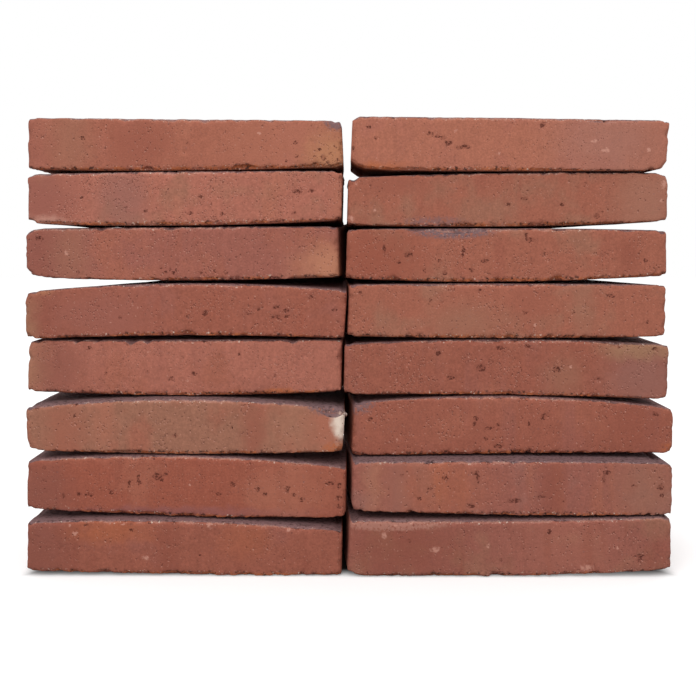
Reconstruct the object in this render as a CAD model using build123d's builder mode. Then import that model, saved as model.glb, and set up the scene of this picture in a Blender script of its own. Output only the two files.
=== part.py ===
from build123d import *

import os
from dataclasses import dataclass, field
from math import cos, pi, sin, sqrt

os.makedirs("parts", exist_ok=True)

# A dry stack of thin hand-moulded clay bricks, two columns of eight courses, one solid for each brick.
# Sizes are in millimetres. X runs to the right along the bricks, the long faces that the photograph
# shows look along -Y, and Z is up. The floor is Z = 0. Courses are counted from the floor.

# The mould, and how its bricks are laid
MOULD_LENGTH = 240.0
MOULD_DEPTH = 115.0
MOULD_THICKNESS = 41.0
ARRIS_RADIUS = 2.0
SEAT_CLEARANCE = 0.2
BEDDING = 0.5

# The turns at which an arris is drawn as it goes round from a long face to the beds and ends
ARRIS_TURNS = (0, pi / 4, pi / 2)

# How finely two beds are compared to find the height at which one rests on the other
SEAT_SAMPLES = 60


@dataclass(frozen=True)
class Corner:
    """A worn corner of a brick's outline: how far it runs along the bed, and how far up the end."""

    run: float = 3.0
    rise: float = 3.0


@dataclass(frozen=True)
class Chip:
    """A shell-shaped chip knocked out of the upper or the lower arris of the long face.

    at is how far along the brick its middle is, width is how long a stretch of the arris is gone, and bite
    is how deep it goes, straight into the arris.
    """

    at: float
    width: float
    bite: float
    upper: bool = True


@dataclass(frozen=True)
class Brick:
    """One brick, given by how it differs from the mould.

    droop is how far the top bed falls from its middle to its (left, right) end, and lift is how far the
    lower bed rises from its middle to its (left, right) end. wind_top and wind_base raise the (left,
    right) ends of those beds at the back of the brick, as in a brick that dried in a twist. lean is how
    much further out the top of the (left, right) end stands than its foot, and skew is how much further
    out the back of the (left, right) end stands than its front. proud is how far the long face stands
    out of the stack's own face.
    """

    longer: float = 0.0
    thicker: float = 0.0
    droop: tuple = (0.0, 0.0)
    lift: tuple = (0.0, 0.0)
    wind_top: tuple = (0.0, 0.0)
    wind_base: tuple = (0.0, 0.0)
    lean: tuple = (0.0, 0.0)
    skew: tuple = (0.0, 0.0)
    proud: float = 0.0
    base_left: Corner = field(default_factory=Corner)
    base_right: Corner = field(default_factory=Corner)
    top_right: Corner = field(default_factory=Corner)
    top_left: Corner = field(default_factory=Corner)
    chips: tuple = ()


@dataclass(frozen=True)
class Course:
    """Two bricks end to end, with the slot between them and how far its middle is off the stack's own."""

    slot: float
    slot_shift: float
    left: Brick
    right: Brick


COURSES = [
    Course(
        slot=4.3,
        slot_shift=-2.5,
        left=Brick(
            longer=-9.5, thicker=-0.8, droop=(1.1, 7.2), lift=(2.4, -0.9), lean=(0.0, 0.7), proud=18.0,
            skew=(0.0, -2.6), base_left=Corner(8.0, 3.2), top_left=Corner(2.6, 2.6),
        ),
        right=Brick(
            longer=-5.0, thicker=0.4, droop=(-0.4, -2.4), lift=(0.6, 5.0), lean=(-2.2, 0.0), proud=20.0,
            skew=(5.6, 0.0), base_left=Corner(12.0, 4.0), top_right=Corner(4.0, 6.0),
            chips=(Chip(at=178.0, width=11.0, bite=2.6, upper=False),),
        ),
    ),
    Course(
        slot=4.1,
        slot_shift=0.5,
        left=Brick(
            longer=-3.5, thicker=4.3, droop=(3.4, 8.6), lift=(5.5, -0.8), lean=(0.0, 0.7), proud=10.0,
            skew=(0.0, -2.6), base_right=Corner(6.5, 5.0), top_left=Corner(4.0, 5.0),
        ),
        right=Brick(
            longer=-6.0, thicker=-0.6, droop=(0.9, 1.8), lift=(3.1, 0.5), lean=(-0.7, 1.0), proud=17.0,
            skew=(5.4, 0.0), base_left=Corner(6.0, 5.0), top_right=Corner(9.0, 4.0),
        ),
    ),
    Course(
        slot=5.9,
        slot_shift=-0.4,
        left=Brick(
            longer=-4.5, thicker=0.2, droop=(6.1, 7.8), lift=(2.9, 1.7), lean=(1.1, 2.2), proud=9.0,
            skew=(0.0, -2.6),
            base_left=Corner(6.0, 9.0), base_right=Corner(3.0, 4.0), top_right=Corner(5.0, 4.0),
            chips=(Chip(at=227.0, width=21.0, bite=6.0), Chip(at=77.0, width=44.0, bite=2.8, upper=False)),
        ),
        right=Brick(
            longer=0.0, thicker=2.5, droop=(5.0, 9.0), lift=(-1.8, 0.5), lean=(-2.0, 0.4), proud=1.0,
            skew=(7.2, 0.0),
            base_left=Corner(4.0, 6.5), base_right=Corner(7.0, 5.0),
            top_right=Corner(7.0, 4.5), top_left=Corner(5.0, 4.0),
            chips=(Chip(at=81.0, width=16.0, bite=2.0, upper=False),),
        ),
    ),
    Course(
        slot=1.2,
        slot_shift=-4.7,
        left=Brick(
            longer=-3.5, thicker=1.4, droop=(0.0, -0.3), lift=(3.0, 3.0), lean=(-0.8, 0.6), proud=-3.0,
            skew=(0.0, 2.0), top_left=Corner(8.0, 6.0),
        ),
        right=Brick(
            longer=3.5, thicker=1.2, droop=(3.6, 4.4), lift=(-0.2, -3.6), lean=(-0.7, 0.7), proud=0.0,
            skew=(-2.2, 0.0), base_left=Corner(4.5, 5.0), base_right=Corner(5.0, 8.0), top_left=Corner(4.0, 3.0),
        ),
    ),
    Course(
        slot=1.4,
        slot_shift=-1.4,
        left=Brick(
            longer=0.5, thicker=-1.4, droop=(6.3, 5.5), lift=(-2.8, -2.2), lean=(0.0, 2.6), proud=0.0,
            skew=(0.0, -2.6), wind_top=(-4.0, 5.0),
            base_left=Corner(4.5, 7.5), top_left=Corner(7.0, 6.0),
        ),
        right=Brick(
            longer=-2.0, thicker=0.6, droop=(0.8, 1.0), lift=(1.6, 1.5), lean=(-1.5, 0.0), proud=1.0,
            skew=(2.7, 0.0), wind_top=(0.0, -3.0),
            base_right=Corner(5.0, 5.0), top_right=Corner(4.0, 3.0),
        ),
    ),
    Course(
        slot=5.6,
        slot_shift=-4.9,
        left=Brick(
            longer=-5.0, thicker=-0.2, droop=(1.1, -0.5), lift=(2.6, 2.8), lean=(0.0, -1.1), proud=-2.0,
            skew=(0.0, 6.2), wind_top=(0.0, 1.5), wind_base=(1.0, -2.0),
            base_left=Corner(18.0, 7.5), top_right=Corner(4.0, 4.0), top_left=Corner(14.0, 5.0),
        ),
        right=Brick(
            longer=0.5, thicker=-0.2, droop=(0.8, 1.4), lift=(2.5, 4.3), lean=(-1.1, 0.0), proud=0.0,
            skew=(-1.9, 0.0), wind_base=(0.0, 1.5),
            top_left=Corner(6.0, 3.2), top_right=Corner(4.0, 3.0),
            chips=(Chip(at=81.0, width=54.0, bite=3.6),),
        ),
    ),
    Course(
        slot=3.4,
        slot_shift=-3.0,
        left=Brick(
            longer=-4.0, thicker=0.1, droop=(1.9, -0.4), lift=(1.5, 4.3), lean=(0.0, 1.1), proud=0.0,
            wind_base=(0.0, -2.4),
            base_left=Corner(12.0, 3.0), top_right=Corner(4.0, 5.0), top_left=Corner(10.0, 3.0),
        ),
        right=Brick(
            longer=0.5, thicker=0.0, droop=(3.6, 0.4), lift=(1.4, 4.2), lean=(-1.1, 0.0), proud=-1.0,
            wind_base=(-1.5, 0.0),
            base_left=Corner(5.0, 4.0), base_right=Corner(5.0, 4.0),
            top_right=Corner(5.0, 8.0), top_left=Corner(4.0, 3.0),
        ),
    ),
    Course(
        slot=6.0,
        slot_shift=-1.5,
        left=Brick(
            longer=-3.5, thicker=-1.8, droop=(-0.8, 1.2), lift=(0.7, 2.6), lean=(0.0, -1.5), proud=-1.0,
            base_right=Corner(3.0, 5.0), top_right=Corner(5.0, 5.0), top_left=Corner(4.5, 4.0),
            chips=(
                Chip(at=91.0, width=13.0, bite=2.4, upper=False),
                Chip(at=163.0, width=26.0, bite=3.2, upper=False),
            ),
        ),
        right=Brick(
            longer=-3.0, thicker=-0.8, droop=(-1.2, 1.8), lift=(0.6, 0.0), lean=(-1.5, 3.0), proud=2.0,
            base_left=Corner(32.0, 7.5), base_right=Corner(12.0, 7.5), top_left=Corner(6.0, 3.0),
            chips=(Chip(at=187.0, width=40.0, bite=2.6),),
        ),
    ),
]


def bow(ends, middle, start, finish):
    """Height on a bed that is a parabola through its two ends and its middle, between two places on it.

    start and finish are shares of the bed's length. The same share twice gives the height at that place,
    and two shares give the height of the curve's control point for the stretch between them.
    """
    control = 2 * middle - (ends[0] + ends[1]) / 2
    from_start = ends[0] * (1 - start) + control * start
    to_finish = control * (1 - start) + ends[1] * start
    return from_start * (1 - finish) + to_finish * finish


def bed_ends(brick, top, depth_share):
    """Heights of a bed's two ends and of its middle, above the middle of the lower bed."""
    middle = MOULD_THICKNESS + brick.thicker if top else 0.0
    rises = (-brick.droop[0], -brick.droop[1]) if top else brick.lift
    winds = brick.wind_top if top else brick.wind_base
    ends = [middle + rise + wind * depth_share for rise, wind in zip(rises, winds)]
    return ends, middle


def bed_height(brick, top, along, depth):
    """Height of a bed at a share of the brick's length and a depth behind its long face."""
    ends, middle = bed_ends(brick, top, depth / MOULD_DEPTH)
    return bow(ends, middle, along, along)


def span(course, side):
    """Where the left and right ends of one brick of a course are, at half its height."""
    if side == "left":
        inner = course.slot_shift - course.slot / 2
        return inner - MOULD_LENGTH - course.left.longer, inner
    inner = course.slot_shift + course.slot / 2
    return inner, inner + MOULD_LENGTH + course.right.longer


def ends_at(brick, front_ends, depth):
    """Where the left and right ends of a brick are at a depth behind its long face."""
    share = depth / MOULD_DEPTH
    return front_ends[0] - brick.skew[0] * share, front_ends[1] + brick.skew[1] * share


def resting_height(lower, upper, lower_span, upper_span):
    """How far above the lower brick's zero the upper brick's zero is, when it has just come to rest."""
    front = -min(lower.proud, upper.proud)
    back = MOULD_DEPTH - max(lower.proud, upper.proud)
    heights = []
    for y in (front, back):
        lower_left, lower_right = ends_at(lower, lower_span, y + lower.proud)
        upper_left, upper_right = ends_at(upper, upper_span, y + upper.proud)
        first = max(lower_left, upper_left)
        last = min(lower_right, upper_right)
        for step in range(SEAT_SAMPLES + 1):
            x = first + (last - first) * step / SEAT_SAMPLES
            lower_along = (x - lower_left) / (lower_right - lower_left)
            upper_along = (x - upper_left) / (upper_right - upper_left)
            top = bed_height(lower, True, lower_along, y + lower.proud)
            base = bed_height(upper, False, upper_along, y + upper.proud)
            heights.append(top - base)
    return max(heights) + SEAT_CLEARANCE


def bedded_height(brick):
    """Height of the zero of a brick whose lower bed is worn flat on the floor, BEDDING deep."""
    lowest = min(bed_height(brick, False, step / SEAT_SAMPLES, 0) for step in range(SEAT_SAMPLES + 1))
    return -lowest - BEDDING


# The stack's own middle, which is laid over the origin
left_end = min(span(course, "left")[0] - abs(course.left.lean[0]) / 2 for course in COURSES)
right_end = max(span(course, "right")[1] + abs(course.right.lean[1]) / 2 for course in COURSES)
prouds = [brick.proud for course in COURSES for brick in (course.left, course.right)]
middle_x = (left_end + right_end) / 2
middle_y = (MOULD_DEPTH - max(prouds) - min(prouds)) / 2


def cross_outline(brick, front_ends, height, depth, inset):
    """The brick's outline at a depth behind its long face: two bowed beds, leaning ends, worn corners.

    inset draws the whole outline in, which is how the arrises beside the two long faces are rounded.
    """
    ends_x = ends_at(brick, front_ends, depth)
    length = ends_x[1] - ends_x[0]
    beds = {top: bed_ends(brick, top, depth / MOULD_DEPTH) for top in (False, True)}

    def on_bed(top, start, finish):
        """A point of a bed, or of the control polygon of a stretch of it."""
        ends, middle = beds[top]
        outward = 0.5 if top else -0.5
        left = ends_x[0] - outward * brick.lean[0] + inset
        right = ends_x[1] + outward * brick.lean[1] - inset
        along = left + (right - left) * (start + finish) / 2
        drawn_in = -inset if top else inset
        return Vector(along, bow(ends, middle, start, finish) + drawn_in)

    def worn_corner(corner, top, side):
        """Three points of a worn corner: on the bed, at the shoulder between, and on the end."""
        along = corner.run / length
        along = 1 - along if side else along
        on_the_bed = on_bed(top, along, along)
        sharp = on_bed(top, side, side)
        end_line = on_bed(not top, side, side) - sharp
        on_the_end = sharp + end_line * (corner.rise / end_line.length)
        shoulder = (on_the_bed + sharp * 2 + on_the_end) / 4
        return [on_the_bed, shoulder, on_the_end]

    def bed_between(top, first, second):
        """Three points of the bed's parabola between two worn corners."""
        start = first.run / length
        finish = 1 - second.run / length
        return [on_bed(top, start, start), on_bed(top, start, finish), on_bed(top, finish, finish)]

    foot_left = worn_corner(brick.base_left, False, 0)
    foot_right = worn_corner(brick.base_right, False, 1)
    head_left = worn_corner(brick.top_left, True, 0)
    head_right = worn_corner(brick.top_right, True, 1)

    origin = (-middle_x, depth - brick.proud - middle_y, height)
    plane = Plane(origin=origin, x_dir=(1, 0, 0), z_dir=(0, -1, 0))
    with BuildSketch(plane) as outline:
        with BuildLine():
            Bezier(*bed_between(False, brick.base_left, brick.base_right))
            Polyline(*foot_right)
            Line(foot_right[-1], head_right[-1])
            Polyline(*reversed(head_right))
            Bezier(*reversed(bed_between(True, brick.top_left, brick.top_right)))
            Polyline(*head_left)
            Line(head_left[-1], foot_left[-1])
            Polyline(*reversed(foot_left))
        make_face()
    return outline.sketch


def chip_place(brick, chip, ends_x, height, radius):
    """Centre of the ball that knocks a chip out of an arris, straight out from the arris."""
    along = chip.at / (ends_x[1] - ends_x[0])
    arris = height + bed_height(brick, chip.upper, along, 0)
    away = (radius - chip.bite) / sqrt(2)
    centre_x = ends_x[0] + chip.at - middle_x
    return (centre_x, -brick.proud - away - middle_y, arris + (away if chip.upper else -away))


def mould_brick(brick, ends_x, height, bedded):
    """One fired brick: a loft through its outlines from the front long face to the back one."""
    rounding = [(ARRIS_RADIUS * (1 - cos(turn)), ARRIS_RADIUS * (1 - sin(turn))) for turn in ARRIS_TURNS]
    outlines = [cross_outline(brick, ends_x, height, depth, inset) for depth, inset in rounding]
    for depth, inset in reversed(rounding):
        outlines.append(cross_outline(brick, ends_x, height, MOULD_DEPTH - depth, inset))
    with BuildPart() as body:
        loft(outlines, ruled=True)
        for chip in brick.chips:
            radius = (chip.width**2 / 4 + chip.bite**2) / (2 * chip.bite)
            with Locations(chip_place(brick, chip, ends_x, height, radius)):
                Sphere(radius, mode=Mode.SUBTRACT)
        if bedded:
            split(bisect_by=Plane.XY, keep=Keep.TOP)
    return body


for side in ("left", "right"):
    height = 0.0
    below = None
    for number, course in enumerate(COURSES, start=1):
        brick = course.left if side == "left" else course.right
        ends_x = span(course, side)
        if below is None:
            height = bedded_height(brick)
        else:
            height += resting_height(below[0], brick, below[1], ends_x)
        body = mould_brick(brick, ends_x, height, bedded=below is None)
        body.part.label = f"brick_{side}_{number}"
        export_step(body.part, f"parts/{body.part.label}.step")
        below = (brick, ends_x)
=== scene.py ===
"""Sixteen thin hand-moulded clay bricks, stacked dry in two columns: their looks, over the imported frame.

Each brick is a closed skin of quads drawn onto its solid and then worn inwards. Only the backs of the inner ends
and of some beds stand out from it, and nothing leaves the frame's box. Lengths in the brick data are
millimetres: along from a brick's left end, up from its lowest point.
"""

import itertools
import logging
import math
from dataclasses import dataclass, field
from enum import Enum

import bpy
import numpy as np
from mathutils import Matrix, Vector


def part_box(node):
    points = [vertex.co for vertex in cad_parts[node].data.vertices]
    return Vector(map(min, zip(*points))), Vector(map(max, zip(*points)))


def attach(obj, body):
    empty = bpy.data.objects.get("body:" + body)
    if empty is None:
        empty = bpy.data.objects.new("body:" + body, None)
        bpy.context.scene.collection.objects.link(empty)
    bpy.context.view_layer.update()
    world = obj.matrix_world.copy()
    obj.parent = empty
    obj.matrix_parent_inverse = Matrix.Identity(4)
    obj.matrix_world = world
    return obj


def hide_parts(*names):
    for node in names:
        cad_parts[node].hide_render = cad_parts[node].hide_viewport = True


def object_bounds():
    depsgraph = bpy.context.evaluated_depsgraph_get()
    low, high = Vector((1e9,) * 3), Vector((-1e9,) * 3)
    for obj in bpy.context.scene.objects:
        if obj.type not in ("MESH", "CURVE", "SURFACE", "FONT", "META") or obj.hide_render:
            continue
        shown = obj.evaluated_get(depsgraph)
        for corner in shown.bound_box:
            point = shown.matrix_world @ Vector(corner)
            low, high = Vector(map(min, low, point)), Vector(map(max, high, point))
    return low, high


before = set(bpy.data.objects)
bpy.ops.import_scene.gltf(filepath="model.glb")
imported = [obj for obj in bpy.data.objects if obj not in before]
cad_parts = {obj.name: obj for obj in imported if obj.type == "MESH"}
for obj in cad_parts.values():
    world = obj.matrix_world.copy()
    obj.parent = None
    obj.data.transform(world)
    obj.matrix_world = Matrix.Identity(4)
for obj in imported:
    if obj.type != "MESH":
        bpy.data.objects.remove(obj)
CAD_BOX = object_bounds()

log = logging.getLogger("brick_stack")

MM = 0.001
BODY = "root"
SIDES = ("left", "right")
LEVEL_WITHIN = 0.02
GOUGE_STEP = 7
HEEL_PART = 6
SPOT_CORE = 0.45
WHITE = (1.0, 1.0, 1.0, 1.0)
BLACK = (0.0, 0.0, 0.0, 1.0)
CURVE_KNEE = 0.04045
CURVE_SLOPE = 12.92
CURVE_LIFT = 0.055
CURVE_POWER = 2.4
AXIS_PRIMES = (73856093, 19349663, 83492791)
SEED_FACTOR = 2654435
HASH_ROUNDS = ((13, 1274126177), (15, 668265263))
HASH_KEPT = 0x7FFFFFFF
HASH_TAKEN = 0xFFFF

Socket = bpy.types.NodeSocket
Outlets = bpy.types.bpy_prop_collection
Spot = tuple[float, float, float, float]


def straightened(level: int) -> float:
    """The share of light that a screen level stands for: the curve of sRGB, a straight line below its knee."""
    share = level / 255
    return share / CURVE_SLOPE if share <= CURVE_KNEE else ((share + CURVE_LIFT) / (1 + CURVE_LIFT)) ** CURVE_POWER


class Tone(Enum):
    """Colours that the clay fired to, and near blacks partly painted as shade in pores, torn spots and holes, in
    red, green and blue from 0 to 255.
    """

    ROSE = (171, 106, 89)
    SALMON = (173, 108, 87)
    BRICK = (162, 98, 79)
    RUSSET = (155, 91, 74)
    EMBER = (155, 87, 69)
    DEEP = (142, 79, 64)
    DUSK = (154, 94, 81)
    MOSS = (157, 107, 87)
    SLATE = (151, 101, 90)
    FLAME = (184, 104, 64)
    APRICOT = (186, 126, 98)
    BUFF = (184, 127, 93)
    TAN = (174, 120, 97)
    KHAKI = (162, 122, 94)
    CREAM = (232, 212, 196)
    UMBER = (138, 82, 70)
    BLUSH = (194, 142, 126)
    MAUVE = (144, 92, 90)
    ASH = (124, 98, 100)
    # Soot on the beds, and also the painted shade in the holes along the arrises.
    SOOT_AND_SHADE = (52, 34, 32)
    # Painted shade: the near black painted into the pores and the torn spots' hollows.
    PIT_SHADE = (80, 32, 25)

    def light(self, shade: float = 1.0) -> tuple[float, float, float, float]:
        """The tone as shares of light given back, times a shade."""
        red, green, blue = (straightened(level) * shade for level in self.value)
        return (red, green, blue, 1.0)


@dataclass(frozen=True)
class Patch:
    """A cloud of another tone in a brick's long face, that fades out at its reach along and up.

    deep is how far it goes in behind the face, and edge how much of its reach it takes to come up to its
    full share. A torn one has a finely ragged edge.
    """

    tone: Tone
    along: float
    up: float
    reach: tuple[float, float]
    share: float = 0.8
    deep: float = 45.0
    edge: float = 0.9
    torn: bool = False


@dataclass(frozen=True)
class Nick:
    """A bite out of the upper or lower front arris: its middle, half its length and its depth."""

    along: float
    reach: float
    bite: float
    upper: bool = False


@dataclass(frozen=True)
class Swell:
    """A bed that stands out towards the back: its middle, half its length and how far it stands out there."""

    along: float
    reach: float
    rise: float
    upper: bool = False


@dataclass(frozen=True)
class Heel:
    """How the back of a brick's inner end stands out from its solid, so that it meets its neighbours.

    aside is how far it reaches into the slot, thick how far each bed swells, and full how far its worn corners
    are filled out.
    """

    aside: float = 1.3
    thick: float = 1.0
    full: float = 2.5


THICK_HEEL = Heel(1.3, 2.0, 3.0)
OPEN_HEEL = Heel(0.0, 1.3, 2.5)


@dataclass(frozen=True)
class Clay:
    """How one brick's clay fired: its main tones, how open and streaky its faces are, and how strongly its upward
    beds take ash and soot, the ash partly painted cool skylight.
    """

    body: Tone = Tone.BRICK
    lean: Tone = Tone.MOSS
    rich: Tone = Tone.RUSSET
    shade: float = 1.0
    open: float = 0.35
    streaks: float = 0.2
    ash_and_skylight: float = 0.75
    burr: Tone = Tone.FLAME


@dataclass(frozen=True)
class Fold:
    """Noise of one lump size in millimetres, and the two values between which it is eased up to its top."""

    lump: float
    detail: float
    low: float
    high: float
    top: float = 1.0


@dataclass(frozen=True)
class Strewing:
    """Round spots, one to a cell: the cell's size in millimetres, and the spots' radii as shares of it."""

    cell: float
    small: float
    large: float


@dataclass(frozen=True)
class Rim:
    """Crust along an arris: its mask, its tone's name, its share, and the broad noise that brings it up."""

    mask: str
    tone: str
    share: float
    low: float
    high: float


@dataclass(frozen=True)
class Wear:
    """How every brick's faces and arrises are worn, in millimetres.

    A wave is a depth and the size of its lumps, and a bite is the same with the step of its seed. Gouges are
    the rare, deep bites where a cloud rises above a share. Depths and reaches in pairs are the least and what
    a spot's own size adds to it; the last torn depth is the most.
    """

    waves: tuple[tuple[float, float], ...] = ((0.34, 38.0), (0.16, 9.0), (0.11, 2.6))
    pit_spacing: float = 8.0
    pit_share: float = 0.45
    pit_depth: tuple[float, float] = (0.35, 0.5)
    pit_reach: tuple[float, float] = (0.9, 1.4)
    torn_depth: tuple[float, float, float] = (0.15, 0.14, 0.6)
    torn_rim: float = 0.6
    torn_behind: float = 4.0
    bites: tuple[tuple[float, float, int], ...] = ((1.2, 6.0, 5), (1.9, 2.6, 6), (0.9, 24.0, 8))
    bite_reach: tuple[float, float] = (1.0, 0.7)
    gouge_depth: float = 7.0
    gouge_lump: float = 12.0
    gouge_above: float = 0.72
    crown_width: float = 2.2
    burr_width: float = 3.2
    nick_height: float = 2.5
    nick_behind: float = 7.0
    bed_from: float = 0.45
    bed_over: float = 0.4
    crisp: float = 0.45
    crisp_within: float = 0.9
    crisp_fades: float = 0.7


@dataclass(frozen=True)
class Finish:
    """How strongly each effect shows in every clay, and how its surface takes the light.

    frayed, torn and drifting say how far places are pushed about, in millimetres. Three numbers in a row are
    the two values between which a mask is eased, and its top.
    """

    frayed: float = 2.2
    torn: float = 4.5
    drifting: float = 15.0
    broken: tuple[float, float] = (6.0, 5.0)
    crumbled: Fold = Fold(2.2, 4.0, 0.3, 0.58, 1.3)
    # Pores are painted dark as shade, and their lower lips pale as a painted highlight.
    pore_shade: float = 1.1
    pore_share: float = 0.52
    lit_lip_share: float = 0.5
    halo_shade: float = 0.85
    halo: tuple[float, float, float] = (0.02, 0.5, 0.35)
    # The torn spots' hollows are painted dark as shade.
    wound_shade: float = 0.8
    wound: tuple[float, float, float] = (0.08, 0.42, 0.75)
    wound_specks: Fold = Fold(1.5, 3.0, 0.46, 0.58)
    wound_depth: float = 1.5
    stone_shade: float = 1.15
    stone: tuple[float, float, float] = (0.15, 0.6, 0.5)
    spot_spread: float = 0.7
    spot_behind: float = 6.0
    bump_strength: float = 0.8
    bump_depth: float = 0.4
    roughness: float = 0.9
    gloss: float = 0.2


def hashed(cells: np.ndarray, seed: int) -> np.ndarray:
    """A fixed random share for each whole-numbered cell: its three numbers times three primes, bits folded.

    Args:
        cells: whole numbers, three in the last axis.
        seed: picks another set of shares.

    Returns:
        Shares from 0 to 1, one for each cell.
    """
    folded = np.full(cells.shape[:-1], seed * SEED_FACTOR, dtype=np.int64)
    for axis, prime in enumerate(AXIS_PRIMES):
        folded ^= cells[..., axis] * prime
    for turn, prime in HASH_ROUNDS:
        folded = ((folded ^ (folded >> turn)) * prime) & HASH_KEPT
    return ((folded >> 7) & HASH_TAKEN) / HASH_TAKEN


def cloud(points: np.ndarray, lump: float, seed: int) -> np.ndarray:
    """Smooth lumps: the eight corners of a point's cell, hashed and blended by 3t^2 - 2t^3 on each axis.

    Args:
        points: places in metres, one a row.
        lump: the size of the lumps in metres.
        seed: picks another cloud.

    Returns:
        A height for each point, from 0 to 1.
    """
    cell = np.floor(points / lump).astype(np.int64)
    part = points / lump - cell
    ease = part * part * (3 - 2 * part)
    total = np.zeros(len(points))
    for corner in itertools.product((0, 1), repeat=3):
        share = np.prod(np.where(corner, ease, 1 - ease), axis=1)
        total += share * hashed(cell + corner, seed)
    return total


def strewn(points: np.ndarray, spacing: float, seed: int, share: float) -> tuple[np.ndarray, np.ndarray]:
    """Spots strewn one to a cell at a hashed place, in a share of the cells; the nearest of 27 cells counts.

    Args:
        points: places in metres, one a row.
        spacing: the size of the cells in metres.
        seed: picks another strewing.
        share: how many of the cells have a spot.

    Returns:
        The distance in metres from each point to its nearest spot, and that spot's own share from 0 to 1.
    """
    scaled = points / spacing
    cell = np.floor(scaled).astype(np.int64)
    nearest = np.full(len(points), np.inf)
    size = np.zeros(len(points))
    for step in itertools.product((-1, 0, 1), repeat=3):
        there = cell + step
        spot = there + np.stack([hashed(there, seed + axis) for axis in range(3)], axis=1)
        away = np.linalg.norm(scaled - spot, axis=1)
        closer = (hashed(there, seed + 3) < share) & (away < nearest)
        nearest = np.where(closer, away, nearest)
        size = np.where(closer, hashed(there, seed + 4), size)
    return nearest * spacing, size


def bell(away: np.ndarray) -> np.ndarray:
    """A smooth bump: (1 - r^2)^2 inside r = 1, and 0 outside."""
    return np.clip(1 - away * away, 0, None) ** 2


def crowded(count: int, pull: float) -> np.ndarray:
    """Shares from 0 to 1 that crowd towards both ends: 1/2 + tanh(pull (2t - 1)) / (2 tanh pull).

    Args:
        count: how many cells the shares make.
        pull: how strongly they crowd.

    Returns:
        One more share than there are cells.
    """
    even = np.linspace(-1, 1, count + 1)
    return 0.5 + np.tanh(pull * even) / (2 * math.tanh(pull))


@dataclass
class Board:
    """A shader node tree that nodes are put on and wired up."""

    tree: bpy.types.NodeTree

    def put(self, kind: str, plugs: dict | None = None, **settings: object) -> bpy.types.Node:
        """Adds a node, and plugs sockets or plain values into it.

        Args:
            kind: the node's Blender type.
            plugs: values or other nodes' output sockets, by input name or number.
            settings: the node's own properties.

        Returns:
            The node.
        """
        node = self.tree.nodes.new(kind)
        for name, value in settings.items():
            setattr(node, name, value)
        for name, value in (plugs or {}).items():
            if isinstance(value, Socket):
                self.tree.links.new(value, node.inputs[name])
            else:
                node.inputs[name].default_value = value
        return node

    def reckon(self, operation: str, first: object, second: object = 0.0) -> Socket:
        """The result of one Math node, its operation by name."""
        return self.put("ShaderNodeMath", {0: first, 1: second}, operation=operation).outputs[0]

    def move(self, operation: str, first: object, second: object) -> Socket:
        """The result of one Vector Math node, its operation by name."""
        return self.put("ShaderNodeVectorMath", {0: first, 1: second}, operation=operation).outputs[0]

    def blend(self, first: object, second: object, share: object, way: str = "MIX") -> Socket:
        """Two colours blended by a share, in a Mix node's way."""
        plugs = {0: share, 6: first, 7: second}
        return self.put("ShaderNodeMix", plugs, data_type="RGBA", blend_type=way).outputs[2]

    def ramp(self, value: Socket, low: object, high: object, top: float = 1.0) -> Socket:
        """A value eased from 0 at low to top at high."""
        plugs = {"Value": value, "From Min": low, "From Max": high, "To Max": top}
        return self.put("ShaderNodeMapRange", plugs, interpolation_type="SMOOTHSTEP").outputs[0]

    def noise(self, place: Socket, lump: float, detail: float = 2.0) -> Socket:
        """Soft noise whose lumps are that many millimetres across."""
        plugs = {"Vector": place, "Scale": 1 / (lump * MM), "Detail": detail, "Roughness": 0.55}
        return self.put("ShaderNodeTexNoise", plugs).outputs["Fac"]

    def fold(self, place: Socket, fold: Fold) -> Socket:
        """Soft noise that is eased up to its top."""
        return self.ramp(self.noise(place, fold.lump, fold.detail), fold.low, fold.high, fold.top)

    def strew(self, place: Socket, strewing: Strewing, kept: object) -> Socket:
        """A mask of round spots, one to a cell, kept in a share of the cells.

        Args:
            place: the place that the cells are laid out on.
            strewing: the sizes of the cells and the spots.
            kept: how many of the cells have a spot.

        Returns:
            The mask, 1 over the inner part of a spot.
        """
        cells = self.put("ShaderNodeTexVoronoi", {"Vector": place, "Scale": 1 / (strewing.cell * MM)}).outputs
        dice = self.put("ShaderNodeSeparateColor", {0: cells["Color"]}).outputs
        plugs = {0: dice[1], 1: strewing.large - strewing.small, 2: strewing.small}
        reach = self.put("ShaderNodeMath", plugs, operation="MULTIPLY_ADD").outputs[0]
        spot = self.ramp(cells["Distance"], reach, self.reckon("MULTIPLY", reach, SPOT_CORE))
        return self.reckon("MULTIPLY", spot, self.reckon("LESS_THAN", dice[0], kept))

    def mask(self, name: str) -> Socket:
        """One of the brick's own painted-on masks."""
        return self.put("ShaderNodeAttribute", attribute_name=name).outputs["Fac"]


@dataclass
class Recipe:
    """A shared effect: a node group with named inputs and outputs, built once and used in each clay."""

    name: str
    takes: dict[str, str]
    gives: dict[str, str]

    def __post_init__(self) -> None:
        """Makes the group's tree, its sockets and its two ends."""
        self.tree = bpy.data.node_groups.new(self.name, "ShaderNodeTree")
        for name, kind in self.takes.items():
            self.tree.interface.new_socket(name, in_out="INPUT", socket_type=f"NodeSocket{kind}")
        for name, kind in self.gives.items():
            self.tree.interface.new_socket(name, in_out="OUTPUT", socket_type=f"NodeSocket{kind}")
        self.board = Board(self.tree)
        self.inlet = self.board.put("NodeGroupInput").outputs
        self.outlet = self.board.put("NodeGroupOutput").inputs

    def give(self, name: str, value: Socket) -> None:
        """Wires a value to one of the group's outputs."""
        self.tree.links.new(value, self.outlet[name])

    def use(self, board: Board, plugs: dict | None = None) -> bpy.types.Node:
        """Puts the group on another board."""
        return board.put("ShaderNodeGroup", plugs, node_tree=self.tree)


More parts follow.
